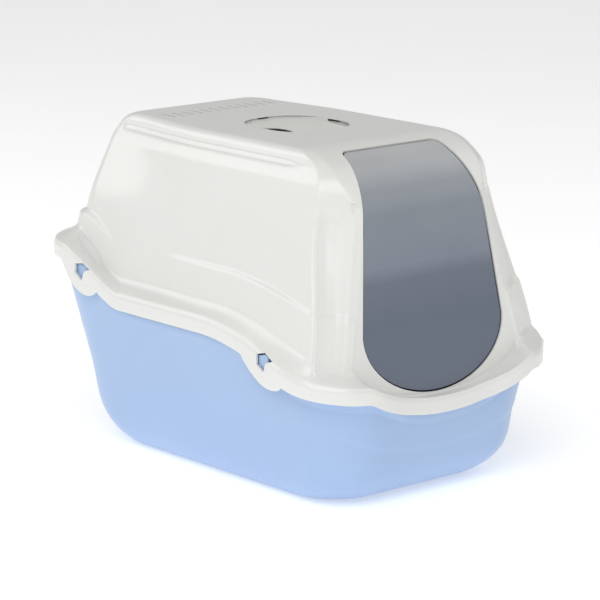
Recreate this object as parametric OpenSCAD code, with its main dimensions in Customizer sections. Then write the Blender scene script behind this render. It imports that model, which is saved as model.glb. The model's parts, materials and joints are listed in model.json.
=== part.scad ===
// Hooded cat litter box: deep tray, lift-off hood, swinging entry flap,
// carry handle and a carbon filter under the roof vents.
// Millimetres, +Z up, entry side towards -Y, origin under the centre of the box.

/* [Overall] */
// Width over the corner lobes of the hood flange
overall_w = 390; // [370:2:410]
// Length over the corner lobes of the hood flange
overall_l = 570; // [550:2:590]
// Height of the roof above the floor; the handle bows 1 mm over it
overall_h = 410; // [406:2:420]

/* [Hood] */
// Wall thickness of the hood
hood_wall = 2.5; // [2:0.1:3]
// Height of the upright face of the flange
flange_face = 16; // [14:1:20]
// How far the four corner lobes stand out from the flange
lobe_out = 9; // [6:1:12]
// Radius of the bend from the front into the roof
bend_r = 95; // [90:1:100]
// Depth of the soft groove under the roof edge
groove_depth = 3; // [1:0.5:4]

/* [Rim line] */
// Height of the flange edge at the rear
rim_rear = 236; // [230:1:240]
// Height of the flange edge along the middle of the sides
rim_side = 187; // [182:1:192]
// Height of the flange edge at the front corners
rim_front = 137; // [133:1:141]
// How far the flange edge dips below that at the entry
apron_drop = 31; // [24:1:34]

/* [Tray] */
// Wall thickness of the tray
tray_wall = 2.8; // [2.4:0.1:3.2]
// Thickness of the tray floor
floor_t = 3; // [2.5:0.1:4]

/* [Entry flap] */
// Thickness of the flap
flap_t = 3; // [2.5:0.1:3.5]
// Gap between the flap and the edge of its opening
flap_gap = 2.4; // [2.2:0.1:3]
// Radius of the two hinge pins of the flap
pin_r = 2.5; // [2.2:0.1:2.8]
// Radial play of the pins in their bearings
pin_play = 0.05; // [0.03:0.01:0.08]

/* [Handle] */
// Width of the recess in the roof
recess_w = 108; // [100:2:112]
// Length of the recess along the roof
recess_l = 126; // [120:2:130]
// Height that the handle lifts before its hooks stop it
handle_lift = 12; // [8:1:14]

/* [Filter] */
// Number of vent slits over the filter
vents = 12; // [8:1:13]
// Thickness of the carbon filter pad
filter_t = 8; // [6:0.5:9]

/* [Hidden] */
$fn = 48;
over = 1;         // how far a cutter runs past the face that it cuts
loose = 0.4;      // gap between pieces that lift or turn past each other

// flange outline, without the lobes
flange_w = overall_w / 2 - lobe_out;
flange_f = overall_l / 2 - lobe_out;
flange_r = 88;
lobe_fade = 0.45; // part of the front and rear edges where the lobes have faded out

// body of the hood: the sides lean in, the front leans back, the rear leans forward
side_lean = 0.225;
front_lean = 0.13;
rear_lean = 0.2;
lean_z = 370;     // height at which side_w and rear_y hold
side_w = 131;
rear_y = 228;
front_z = 330;    // height at which front_y holds
front_y = 232;
lean_angle = atan(front_lean);
bend_z = overall_h - bend_r;
bend_start = bend_z + bend_r * sin(lean_angle);
bend_y = front_y + (front_z - bend_start) * front_lean - bend_r * cos(lean_angle);
rear_fillet = 30;
shoulder_h = 22;  // height of the sloping shoulder above the flange face
apron_flat = 0.75; // part of that height which the shoulder loses below the entry
straight_z = 300; // above this height the rings lie level

// tray
tray_inset = 5;   // tray rim inside the flange face
rim_lip = 14;     // tray rim above the flange edge
seat_gap = 1.8;   // between the tray rim and the step of the hood over it
tray_lean = 0.18;
tongue_reach = 1.4; // the tongue outside the face of the tray rim

// the clips: a hole over each tab of the flange, and a tongue of the tray that stands behind it;
// outlines in y and z, from a point on the flange edge
front_tab = [-163, 41, 15.5];
rear_tab = [181, 28.5, 21.5];
clip_y = [-165, 172];
hole_outlines = [[[10, 19.5], [-2, 22], [-19, 15.5], [-9, 12], [-5, 0], [10, 7]],
                 [[12, 17.5], [0, 19], [-10, 12.5], [-3, 9], [2, -3], [13, 6]]];
tongue_outlines = [[[8.5, -3], [8.5, 17.5], [-2, 20], [-7.5, 17], [-7.5, -3]],
                   [[11, -3], [11, 16], [0, 17.5], [-4, 15], [-4, -3]]];

// entry opening, seen from the front
sill_z = 129;
widest_z = 205;
widest = 110.4;
narrowing = 0.117;
crown_z = 320;    // the sides draw in faster above this height
crown = 0.0016;
top_angle = 72.6; // where the opening ends on the bend, from the horizontal
flap_inset = 1.8; // flap face behind the face of the hood
pin_y = -218;
pin_z = 350;
pin_end = 104;
lug_x = 84;

// handle
strap_waist = 76;
strap_t = 3;
handle_top = overall_h + 1;
end_sink = 4;     // top of the strap's ends below the roof
gap_l = 60;       // length of the finger gaps beside the strap
gap_y = -28;      // their middle, from the middle of the recess
recess_depth = 24;
recess_r = 46;
handle_y = -5;
ledge_l = 16;     // front and rear ledges that the strap ends rest on

// filter
vent_y = 142;
vent_l = 26;
vent_w = 4.5;
vent_pitch = 14.5;
frame_w = 184;
frame_l = 52;
frame_t = 3;       // wall of the filter frame
roof_under = overall_h - hood_wall;

function clamp01(t) = max(0, min(1, t));
function ease(a, b, x) = let (t = clamp01((x - a) / (b - a))) t * t * (3 - 2 * t);
function mix(a, b, t) = a + (b - a) * t;
function drop(r, d) = r - sqrt(max(0, r * r - d * d));

// ---- flange edge height over the plan ----
function apron(x, y) = (1 - pow(clamp01(abs(x) / 128), 2.2)) * ease(-235, -270, y);
function rim(x, y) =
    rim_front + (rim_side - rim_front) * ease(-300, -45, y)
    + (rim_rear - rim_side) * ease(110, 217, y) - apron_drop * apron(x, y);
// A rounded tab that hangs below the edge: t is [centre, half length, depth].
function tab(y, t) = t[2] * pow(cos(90 * clamp01(abs(y - t[0]) / t[1])), 0.65);
function tabs(x, y) = ease(120, 165, abs(x)) * (tab(y, front_tab) + tab(y, rear_tab));

// ---- stations round the outline: [stretch, side, position] ----
FRONT = 0; FCORNER = 1; PILLAR = 2; SCORNER = 3; SIDE = 4; RCORNER = 5; REAR = 6;
half_round = concat(
    [for (i = [0:7]) [FRONT, 1, i / 8]],
    [for (i = [0:3]) [FCORNER, 1, 1 - i / 3]],
    [[PILLAR, 1, 0.5]],
    [for (i = [0:3]) [SCORNER, 1, 1 - i / 3]],
    [for (i = [1:19]) [SIDE, 1, i / 20]],
    [for (i = [0:6]) [RCORNER, 1, i / 6]],
    [for (i = [1:5]) [REAR, 1, 1 - i / 6]]);
stations = concat(half_round, [[REAR, 0, 0]],
    [for (i = [len(half_round) - 1:-1:1]) [half_round[i][0], -1, half_round[i][2]]]);

// A corner is two arcs, r1 beside the side and r2 beside the front, with a straight pillar
// between them. It starts b behind the front and ends a in from the side.
function corner_turn(r1, r2, a, b) =
    acos((r2 - r1) / norm([a - r1, b - r2])) - atan2(b - r2, a - r1);
function arc_s(w, f, r1, b, g) = [w - r1 + r1 * cos(g), -(f - b + r1 * sin(g))];
function arc_f(w, f, r2, a, g) = [w - a + r2 * cos(g), -(f - r2 + r2 * sin(g))];
function flip(p, s) = [p[0] * s, p[1]];
function plan(st, w, f, r, c, rr) =
    let (r1 = c[0], r2 = c[1], a = c[2], b = c[3], u = st[2], g = corner_turn(r1, r2, a, b))
    flip(st[0] == FRONT ? [(w - a) * u, -f] :
         st[0] == FCORNER ? arc_f(w, f, r2, a, mix(g, 90, u)) :
         st[0] == PILLAR ? mix(arc_s(w, f, r1, b, g), arc_f(w, f, r2, a, g), u) :
         st[0] == SCORNER ? arc_s(w, f, r1, b, g * u) :
         st[0] == SIDE ? [w, mix(b - f, r - rr, u)] :
         st[0] == RCORNER ? [w - rr + rr * cos(90 * u), r - rr + rr * sin(90 * u)] :
         [(w - rr) * u, r], st[1]);
function lobe(st) =
    st[0] == FRONT || st[0] == REAR ? ease(lobe_fade, 1, st[2]) :
    st[0] == SIDE ? max(1 - ease(0, 0.2, st[2]), ease(0.85, 1, st[2])) : 1;

// ---- hood surface; t is how far inside the outer face the point lies ----
function flange_plan(st, t) = let (k = flange_r - t / 2, o = lobe_out * lobe(st) - t)
    plan(st, flange_w + o, flange_f + o, flange_f + o, [k - 18, k - 18, k - 7, k - 7], k);
function flange_pt(st, t, h, edge) = let (p = flange_plan(st, t), q = flange_plan(st, 0))
    [p[0], p[1], rim(q[0], q[1]) + h - (edge ? tabs(q[0], q[1]) : 0)];
function front_at(z, t) = z < bend_start ? front_y - t + (front_z - z) * front_lean :
    bend_y + sqrt(max(0, pow(bend_r - t, 2) - pow(z - bend_z, 2)));
function rear_at(z, t) = rear_y - t + (lean_z - z) * rear_lean
    - drop(rear_fillet - t, max(0, z - (overall_h - rear_fillet)));
function wall_plan(st, z, t, inset) =
    let (k = ease(front_z, 405, z), rr = mix(40, 22, ease(250, 400, z)),
         w = side_w + (lean_z - z) * side_lean - t - inset,
         p = plan(st, w, front_at(z, t), rear_at(z, t),
                  [mix(5, 6, k), mix(12, 8, k), mix(48, 14, k),
                   mix(25 + 20 * ease(190, 350, z), 12, k)], rr))
    [p[0] * (1 - 0.13 * ease(straight_z, 400, z) * ease(30, 200, p[1])), p[1]];
function shoulder_z(st, h) = let (q = flange_pt(st, 0, flange_face, false))
    q[2] + h * (1 - apron_flat * apron(q[0], q[1]));
function shoulder_pt(st, t, h, blend) =
    let (z = shoulder_z(st, h), p = mix(flange_plan(st, t), wall_plan(st, z, t, 0), blend))
    [p[0], p[1], z];
function wall_pt(st, t, up) =
    let (z = mix(shoulder_z(st, shoulder_h), straight_z, up), p = wall_plan(st, z, t, 0))
    [p[0], p[1], z];
function top_pt(st, t, level) = let (w = wall_plan(st, level[0], t, level[1]))
    [w[0], w[1], level[0]];

// heights of the level rings and how far the side stands in there, below the roof edge
rise = overall_h - 410;
outer_levels = [[312, 0], [326, 0], [340, 0], [352, 0], [364, 0], [374, 0.5], [382, 2],
    [388, 5], [392, 6 + groove_depth], [396, 6 + groove_depth], [400, 6], [404, 5],
    [408, 7.5], [410, 13]];
inner_levels = [[407.5, 14], [403, 11], [396, 10], [388, 7], [382, 3.5], [374, 1], [364, 0],
    [352, 0], [340, 0], [326, 0], [312, 0]];
function lifted(levels) = [for (v = levels) [v[0] + rise, v[1]]];
hood_rings = concat(
    [for (v = lifted(inner_levels)) [for (s = stations) top_pt(s, hood_wall, v)]],
    [for (u = [1, 0.75, 0.5, 0.25, 0]) [for (s = stations) wall_pt(s, hood_wall, u)]],
    [for (v = [[15, 0.88], [8, 0.5]])
        [for (s = stations) shoulder_pt(s, hood_wall, v[0], v[1])]],
    [for (t = [8, 3]) [for (s = stations) flange_pt(s, t, rim_lip + seat_gap, false)]],
    [for (t = [3, 0]) [for (s = stations) flange_pt(s, t, 0, true)]],
    [for (v = [[0, 0], [2.5, 5]])
        [for (s = stations) flange_pt(s, v[0], flange_face + v[1], false)]],
    [for (v = [[11, 0.62], [17, 0.93]]) [for (s = stations) shoulder_pt(s, 2.5, v[0], v[1])]],
    [for (u = [0, 0.15, 0.35, 0.55, 0.78, 1]) [for (s = stations) wall_pt(s, 0, u)]],
    [for (v = lifted(outer_levels)) [for (s = stations) top_pt(s, 0, v)]]);

// Closes a stack of equal rings with a fan at each end.
module ring_solid(rings, first, last) {
    n = len(rings[0]);
    count = len(rings);
    points = concat([first], [for (r = rings) each r], [last]);
    function id(k, i) = 1 + k * n + i % n;
    polyhedron(points, concat(
        [for (i = [0:n - 1]) [0, id(0, i), id(0, i + 1)]],
        [for (k = [0:count - 2], i = [0:n - 1], half = [0, 1]) half == 0 ?
            [id(k, i), id(k + 1, i), id(k + 1, i + 1)] :
            [id(k, i), id(k + 1, i + 1), id(k, i + 1)]],
        [for (i = [0:n - 1]) [len(points) - 1, id(count - 1, i + 1), id(count - 1, i)]]),
        convexity = 10);
}

module mirrored() {
    children();
    mirror([1, 0, 0]) children();
}

// A prism whose outline is drawn in x and z, running along y.
module along_y(y0, y1) {
    translate([0, y1, 0]) rotate([90, 0, 0]) linear_extrude(y1 - y0) children();
}

// A prism whose outline is drawn in y and z, running along x.
module along_x(x0, x1) {
    translate([x0, 0, 0]) rotate([90, 0, 90]) linear_extrude(x1 - x0) children();
}

// ---- entry opening and flap ----
function opening_half(z) = widest - (z - widest_z) * narrowing
    - crown * pow(max(0, z - crown_z), 2);
module opening_outline(gap) {
    top = overall_h + 10;
    right = concat(
        [for (a = [-90:7.5:-7.5]) [(widest - gap) * cos(a),
                                   widest_z + (widest_z - sill_z - gap) * sin(a)]],
        [for (z = [widest_z:15:top]) [opening_half(z) - gap, z]]);
    polygon(concat(right, [for (i = [len(right) - 1:-1:1]) [-right[i][0], right[i][1]]]));
}
// Everything in front of a plane that stands square on the bend at the given angle.
module before_bend(angle) {
    translate([0, -bend_y, bend_z]) rotate([-angle, 0, 0])
        translate([-200, -200, -400]) cube([400, 600, 400]);
}
module opening_solid(gap) {
    intersection() {
        along_y(-300, -bend_y + 20) opening_outline(gap);
        before_bend(top_angle - gap / bend_r * 60);
    }
}
// The face of the hood's front, drawn in y and z, t behind its outer face.
function front_line(t) = concat(
    [for (z = [110, 325]) [-front_at(z, t), z]],
    [for (a = [12:6:90]) [-bend_y - (bend_r - t) * cos(a), bend_z + (bend_r - t) * sin(a)]]);
module flap_section() {
    outer = front_line(flap_inset);
    inner = front_line(flap_inset + flap_t);
    polygon(concat(outer, [for (i = [len(inner) - 1:-1:0]) inner[i]]));
}

module door_flap() {
    color([0.5, 0.55, 0.62, 0.8]) {
        intersection() {
            along_x(-150, 150) flap_section();
            opening_solid(flap_gap);
        }
        mirrored() {
            along_x(lug_x - 8, lug_x) polygon([[pin_y - 5, pin_z - 14], [pin_y - 5, pin_z + 5],
                [pin_y - 1, pin_z + 7], [pin_y + 3, pin_z + 4], [pin_y + 4, pin_z - 2]]);
            translate([lug_x - 4, pin_y, pin_z]) rotate([0, 90, 0])
                cylinder(r = pin_r, h = pin_end - lug_x + 4);
        }
    }
}

// ---- hood ----
module rounded(w, l, r) {
    polygon([for (q = [0:3], a = [0:15:90])
        let (sx = q == 0 || q == 3 ? 1 : -1, sy = q < 2 ? 1 : -1)
        [sx * (w / 2 - r) + r * cos(90 * q + a), sy * (l / 2 - r) + r * sin(90 * q + a)]]);
}
module at_recess(z) {
    translate([0, handle_y, z]) children();
}
hook_y = recess_l / 2 - ledge_l / 2;
ledge_z = overall_h - end_sink - strap_t - loose;

module recess_pan() {
    at_recess(overall_h - recess_depth - hood_wall)
        linear_extrude(recess_depth) rounded(recess_w + 5, recess_l + 5, recess_r + 2.5);
}
module recess_void() {
    at_recess(ledge_z) linear_extrude(overall_h - ledge_z + over)
        rounded(recess_w, recess_l, recess_r);
    at_recess(overall_h - recess_depth) linear_extrude(recess_depth) intersection() {
        rounded(recess_w - 1, recess_l - 1, recess_r);
        square([recess_w, recess_l - 2 * ledge_l], center = true);
    }
    for (s = [-1, 1]) {
        // slot for a hook, and the pocket below its ledge
        translate([-18, handle_y + s * hook_y - 2.5, ledge_z - 2.5 - over])
            cube([36, 5, 2.5 + 2 * over]);
        translate([-24, handle_y + s * hook_y - 7.5, overall_h - recess_depth - 10])
            cube([48, 15, recess_depth + 10 - (overall_h - ledge_z) - 2.5]);
    }
}
module bearing() {
    translate([lug_x + 12, pin_y, pin_z]) rotate([0, 90, 0]) cylinder(r = 5.5, h = 8);
    translate([lug_x + 12, pin_y - 5, pin_z - 5.5]) cube([8, 5, 11]);
}
// A prism along x on a clip outline, at the flange edge at y.
module at_clip(outline, y, x0, x1) {
    along_x(x0, x1) translate([y, rim(flange_w, y)]) polygon(outline);
}

module hood() {
    color("ivory") difference() {
        union() {
            ring_solid(hood_rings, [0, 0, roof_under], [0, 0, overall_h]);
            recess_pan();
            mirrored() bearing();
        }
        opening_solid(0);
        recess_void();
        mirrored() {
            translate([lug_x + 12 - over, pin_y, pin_z]) rotate([0, 90, 0])
                cylinder(r = pin_r + pin_play, h = 8 + 2 * over);
            for (i = [0, 1])
                at_clip(hole_outlines[i], clip_y[i], flange_w - 18, flange_w + 22);
        }
        for (i = [0:vents - 1])
            translate([(i - (vents - 1) / 2) * vent_pitch - vent_w / 2, vent_y - vent_l / 2,
                       roof_under - over]) cube([vent_w, vent_l, hood_wall + 2 * over]);
    }
}

// ---- carry handle ----
// A bow across the recess, drawn in y and z: its ends rest on the ledges.
module bow_section(half_l) {
    bow = handle_top - (ledge_z + loose + strap_t);
    outer_r = (half_l * half_l + bow * bow) / (2 * bow);
    reach = asin(half_l / outer_r);
    function arc_pt(r, a) = [r * sin(a), handle_top - outer_r + r * cos(a)];
    polygon(concat([for (k = [-8:8]) arc_pt(outer_r, k / 8 * reach)],
                   [for (k = [8:-1:-8]) arc_pt(outer_r - strap_t, k / 8 * reach)]));
}
module carry_handle() {
    w = recess_w - 2 * loose;
    l = recess_l - 2 * loose;
    waist_depth = (w - strap_waist) / 2;
    waist_r = (gap_l * gap_l / 4 + waist_depth * waist_depth) / (2 * waist_depth);
    color("ivory") at_recess(0) {
        intersection() {
            along_x(-w / 2, w / 2) bow_section(l / 2);
            difference() {
                linear_extrude(handle_top + over) rounded(w, l, recess_r);
                mirrored() translate([strap_waist / 2 + waist_r, gap_y, 0])
                    cylinder(r = waist_r, h = handle_top + 2 * over);
            }
        }
        for (s = [-1, 1]) {
            translate([-15, s * hook_y - 1.5, ledge_z - 3 - handle_lift])
                cube([30, 3, handle_lift + 6.5]);
            translate([-15, s * hook_y - 3.5 + s * 2, ledge_z - 6 - handle_lift - loose])
                cube([30, 7, 3.5]);
        }
    }
}

// ---- carbon filter under the roof ----
frame_top = roof_under;
frame_h = filter_t + 3;
frame_lip = 1.5;     // ledge inside the frame that the pad rests on
frame_y = vent_y - frame_l / 2;
cover_t = 2.5;
cover_z = frame_top - frame_h - 0.3 - cover_t;
hinge_y = vent_y + frame_l / 2 + 4;
hinge_z = cover_z + cover_t / 2;
hinge_r = 1.5;
ear_x = 50;
ear_w = 6;
ear_r = 3.4;         // less than the distance from the axis to the edge of the cover
module frame_hole(wall, z, h) {
    translate([-frame_w / 2 + wall, frame_y + wall, z])
        cube([frame_w - 2 * wall, frame_l - 2 * wall, h]);
}
module filter_frame() {
    bottom = frame_top - frame_h;
    color("whitesmoke") difference() {
        union() {
            translate([-frame_w / 2, frame_y, bottom]) cube([frame_w, frame_l, frame_h]);
            mirrored() {
                translate([ear_x, hinge_y, hinge_z]) rotate([0, 90, 0])
                    cylinder(r = ear_r, h = ear_w);
                translate([ear_x, hinge_y - ear_r, hinge_z]) cube([ear_w, 2 * ear_r, 7]);
                translate([ear_x, hinge_y - 6, bottom + 1]) cube([ear_w, 4, 4.5]);
            }
        }
        frame_hole(frame_t + 3, bottom - over, frame_lip + 2 * over);
        frame_hole(frame_t, bottom + frame_lip, frame_h);
        mirrored() {
            translate([ear_x - over, hinge_y, hinge_z]) rotate([0, 90, 0])
                cylinder(r = hinge_r + pin_play, h = ear_w + 2 * over);
        }
    }
}
module carbon_filter() {
    color([0.16, 0.16, 0.17]) translate([-frame_w / 2 + frame_t + 0.5, frame_y + frame_t + 0.5,
        frame_top - frame_h + frame_lip])
        cube([frame_w - 2 * frame_t - 1, frame_l - 2 * frame_t - 1, filter_t]);
}
module filter_cover() {
    arm = [ear_x + ear_w + 0.4, 5];
    color("whitesmoke") {
        difference() {
            translate([-frame_w / 2, frame_y, cover_z]) cube([frame_w, frame_l, cover_t]);
            for (i = [-5:5]) translate([i * 15 - 4, frame_y + 8, cover_z - over])
                cube([8, frame_l - 16, cover_t + 2 * over]);
        }
        mirrored() {
            translate([arm[0], vent_y + frame_l / 2 - 3, cover_z]) cube([arm[1], 7, cover_t]);
            translate([arm[0], hinge_y, hinge_z]) rotate([0, 90, 0])
                cylinder(r = 2.6, h = arm[1]);
            translate([ear_x - 0.5, hinge_y, hinge_z]) rotate([0, 90, 0])
                cylinder(r = hinge_r, h = ear_w + 3);
        }
        // finger tab at the free edge
        translate([-12, frame_y - 5, cover_z]) cube([24, 6, cover_t]);
    }
}

// ---- tray ----
// Half width or half length of the tray body at height z: a leaning wall over a wide fillet
// that is `deep` across and `high` up.
function tray_side(z, top, top_z, deep, high) = top - (top_z - z) * tray_lean
    - (z < high ? deep * (1 - sqrt(1 - pow((high - z) / high, 2))) : 0);
function tray_plan(st, z, t) =
    let (c = mix(62, 83, ease(0, 110, z)) - t / 2, w = flange_w - tray_inset,
         f = flange_f - tray_inset)
    plan(st, tray_side(z, w, 190, 34, 62) - t, tray_side(z, f, 125, 62, 62) - t,
         tray_side(z, f, 240, 36, 84) - t, [c * 0.8, c * 0.8, c * 0.9, c * 0.9], c);
// The wall flares out to follow the flange just below the rim.
function tray_pt(st, t, u, base) =
    let (q = flange_plan(st, tray_inset), top = rim(q[0], q[1]) + rim_lip,
         z = mix(base, top, u), k = ease(top - 30, top - 10, z),
         p = mix(tray_plan(st, z - base * (1 - u), t), flange_plan(st, tray_inset + t), k))
    [p[0], p[1], z];
outer_steps = [0, 0.006, 0.02, 0.045, 0.08, 0.13, 0.19, 0.26, 0.36, 0.5, 0.7, 0.82, 0.88, 0.94, 1];
inner_steps = [1, 0.94, 0.88, 0.82, 0.6, 0.4, 0.26, 0.17, 0.09, 0.035, 0];
tray_rings = concat(
    [for (u = outer_steps) [for (s = stations) tray_pt(s, 0, u, 0)]],
    [for (u = inner_steps) [for (s = stations) tray_pt(s, tray_wall, u, floor_t)]]);
// A tongue on the outside of the tray wall, behind a clip hole of the hood.
function side_lobe(y) = let (u = (y + 197) / 394) max(1 - ease(0, 0.2, u), ease(0.85, 1, u));
module tongue(y, outline) {
    narrow = min(side_lobe(y + outline[0][0]), side_lobe(y + outline[3][0]));
    face = flange_w + lobe_out * narrow - tray_inset;
    at_clip(outline, y, face - 2, face + tongue_reach);
}
module base_tray() {
    color("lightsteelblue") {
        ring_solid(tray_rings, [0, 0, 0], [0, 0, floor_t]);
        mirrored() for (i = [0, 1]) tongue(clip_y[i], tongue_outlines[i]);
    }
}

base_tray();
hood();
door_flap();
carry_handle();
filter_frame();
carbon_filter();
filter_cover();
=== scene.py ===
"""Looks for the hooded cat litter box: the CAD shapes again as finer, softer mouldings, with
procedural plastics, a pale studio floor, soft light and the camera. Shapes are worked out in
millimetres and turned into metres when a mesh is made."""

import json
import math

import bmesh
import bpy
import numpy as np
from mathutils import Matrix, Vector


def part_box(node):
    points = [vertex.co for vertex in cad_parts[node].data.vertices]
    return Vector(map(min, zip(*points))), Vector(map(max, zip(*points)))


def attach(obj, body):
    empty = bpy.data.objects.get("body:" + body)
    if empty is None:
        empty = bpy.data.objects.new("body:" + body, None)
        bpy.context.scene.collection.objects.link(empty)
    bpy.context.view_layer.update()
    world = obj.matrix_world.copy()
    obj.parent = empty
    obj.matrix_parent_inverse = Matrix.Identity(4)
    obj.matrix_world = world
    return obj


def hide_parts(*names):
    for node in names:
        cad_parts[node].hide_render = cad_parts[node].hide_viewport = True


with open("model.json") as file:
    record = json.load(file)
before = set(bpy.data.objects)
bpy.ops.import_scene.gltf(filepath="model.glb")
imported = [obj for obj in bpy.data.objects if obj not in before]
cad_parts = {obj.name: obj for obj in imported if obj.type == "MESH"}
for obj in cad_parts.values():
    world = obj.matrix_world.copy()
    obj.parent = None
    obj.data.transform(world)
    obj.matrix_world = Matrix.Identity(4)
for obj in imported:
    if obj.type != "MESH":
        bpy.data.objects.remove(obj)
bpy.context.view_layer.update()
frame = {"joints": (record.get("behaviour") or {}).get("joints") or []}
MM = 0.001


def cad(node):
    """The box of a CAD node in millimetres: its low corner and its high corner."""
    low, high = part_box(node)
    return np.array(low) / MM, np.array(high) / MM


# ---- sizes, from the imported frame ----
hood_high = cad("hood")[1]
strap_low, strap_high = cad("carry_handle")
frame_low, frame_high = cad("filter_frame")
pad_low, pad_high = cad("carbon_filter")
cover_low, cover_high = cad("filter_cover")
joint_at = {j["name"]: np.array(j.get("pos_m", (0, 0, 0))) / MM for j in frame["joints"]}

HOOD_WALL = 2.5
TRAY_WALL = 2.8
LOBE_OUT = 9  # how far the flange's lobes stand out
FLANGE_FACE = 16
top_z = hood_high[2]
flange_w = hood_high[0] - LOBE_OUT
flange_l = hood_high[1] - LOBE_OUT
FLANGE_R = 88
FLANGE_TIGHT = 18  # the front corner's two arcs are this much tighter than the flange radius
FLANGE_REACH = 7  # and they start this much nearer to the corner

# flange edge height
RIM_FRONT_Z = 137
RIM_SIDE_RISE = 50
RIM_REAR_RISE = 49
APRON_DROP = 31
APRON_HALF = 128
APRON_POWER = 2.2
FRONT_TAB = (-163, 41, 15.5)  # middle, half length and depth
REAR_TAB = (181, 28.5, 21.5)

# hood walls
SIDE_LEAN = 0.225
FRONT_LEAN = 0.13
REAR_LEAN = 0.2
LEAN_Z = 370
SIDE_W = 131
REAR_Y = 228
FRONT_Z = 330
FRONT_Y = 232
BEND_R = 95
REAR_FILLET = 30
SHOULDER_H = 22
SHOULDER_POWER = 2.2
APRON_FLAT = 0.75
STRAIGHT_Z = 300
ROOF_TAPER = 0.13
PILLAR_IN = (48, 14)  # where the corner meets the front, in from the side, low down and at the roof
PILLAR_BACK = (25, 12)  # where it meets the side, back from the front, low down and at the roof
PILLAR_FLARE = 14  # added to the low value of PILLAR_BACK between half height and the bend
REAR_CORNER_R = (40, 22)

# mouldings on the hood
LEDGE_Z = 262
LEDGE_FALL = 29
LEDGE_OUT = (3.4, 1.8)  # along the side and at the front
RIDGE_OUT = (1.5, 1.0)  # at the pillar's rear edge and at its front edge
FLUTE_DEPTH = 0.9
REAR_STEP_OUT = 5.0
FLANGE_RIDGE_OUT = 1.2
ROOF_DRAW_IN = 4
ROOF_EDGE_R = 9
GROOVE_DEPTH = 4.2
GROOVE_Z = 393
GROOVE_W = 3.6

# tray; each wall is (height at full width, depth of its round foot, height of that foot)
TRAY_INSET = 5
TRAY_LEAN = 0.18
TRAY_SIDES = (190, 34, 62)
TRAY_FRONT = (125, 62, 62)
TRAY_REAR = (240, 36, 84)
TRAY_CORNER = (62, 83)
TRAY_FLOOR = 3
FOOT_SHARE = 0.6  # the flat middle of the underside, as a share of its outline
CREASE_DEPTH = 1.3
RIM_LIP = 14
SEAT_GAP = 1.8

# snap catches: outlines in y and z, from the flange edge
CLIP_Y = (-165, 172)
HOLES = (((10, 19.5), (-2, 22), (-19, 15.5), (-9, 12), (-5, 0), (10, 7)),
         ((12, 17.5), (0, 19), (-10, 12.5), (-3, 9), (2, -3), (13, 6)))
TONGUES = (((8.5, -3), (8.5, 17.5), (-2, 20), (-7.5, 17), (-7.5, -3)),
           ((11, -3), (11, 16), (0, 17.5), (-4, 15), (-4, -3)))
TONGUE_REACH = 1.4
SIDE_HALF = 197  # about half the straight stretch of the flange's side

# entry opening and flap
SILL_Z = 129
WIDEST_Z = 205
WIDEST = 110.4
NARROWING = 0.117
CROWN_Z = 320
CROWN = 0.0016
TOP_ANGLE = math.radians(72.6)
DOOR_CORNER = 11
FLAP_CORNER = 10
FLAP_GAP = 2.0
FLAP_INSET = 1.8
FLAP_T = 3.0
PIN_R = 2.5
BORE_R = 2.55
BEARING_X = (96, 104)
BEARING_R = 5.5
LUG_X = (76, 84)
PIN_END_X = 110
PIN_END_Z = 349
PIN_END_R = 2.4

# roof recess and handle
RECESS_Y = -5
RECESS_W = 108
RECESS_L = 126
RECESS_R = 46
RECESS_DEPTH = 24
LEDGE_L = 16
END_SINK = 4
STRAP_T = 3
STRAP_WAIST = 72
STRAP_FIT = 0.6
STRAP_CROWN = 1.2
GAP_HALF = 30
GAP_Y = -28
HOOK_X = 15

# roof vents and filter set
VENT_COUNT = 12
VENT_PITCH = 14.5
FILTER_REAR_Y = 168
FRAME_H = 11
EAR_X = (50, 56)
EAR_R = 3.4
HINGE_PIN_R = 1.5
HINGE_BORE_R = 1.55
KNUCKLE_X = (56.4, 61.4)
KNUCKLE_R = 2.6
COVER_HALF_T = 1.25
GRID_PITCH = 15

lean = math.atan(FRONT_LEAN)
bend_z = top_z - BEND_R
bend_start = bend_z + BEND_R * math.sin(lean)
bend_y = FRONT_Y + (FRONT_Z - bend_start) * FRONT_LEAN - BEND_R * math.cos(lean)
slope_length = math.hypot(1, FRONT_LEAN)
top_s = (bend_start - WIDEST_Z) * slope_length + BEND_R * (TOP_ANGLE - lean)


def ease(a, b, x):
    t = np.clip((x - a) / (b - a), 0, 1)
    return t * t * (3 - 2 * t)


def mix(a, b, t):
    return a + (b - a) * t


def drop(radius, d):
    return radius - np.sqrt(np.maximum(0, radius**2 - np.clip(d, 0, radius) ** 2))


def bump_at(x, centre, width):
    return np.exp(-(((x - centre) / width) ** 2))


# ---- flange edge height over the plan ----
def apron(x, y):
    return (1 - np.clip(np.abs(x) / APRON_HALF, 0, 1) ** APRON_POWER) * ease(-235, -270, y)


def rim(x, y):
    return (RIM_FRONT_Z + RIM_SIDE_RISE * ease(-300, -45, y) + RIM_REAR_RISE * ease(110, 217, y)
            - APRON_DROP * apron(x, y))


def tab(y, centre, half, depth):
    return depth * np.cos(math.pi / 2 * np.clip(np.abs(y - centre) / half, 0, 1)) ** 0.65


def tabs(x, y):
    return ease(120, 165, np.abs(x)) * (tab(y, *FRONT_TAB) + tab(y, *REAR_TAB))


# ---- stations round the outline ----
FRONT, FCORNER, PILLAR, SCORNER, SIDE, RCORNER, REAR = range(7)


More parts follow.
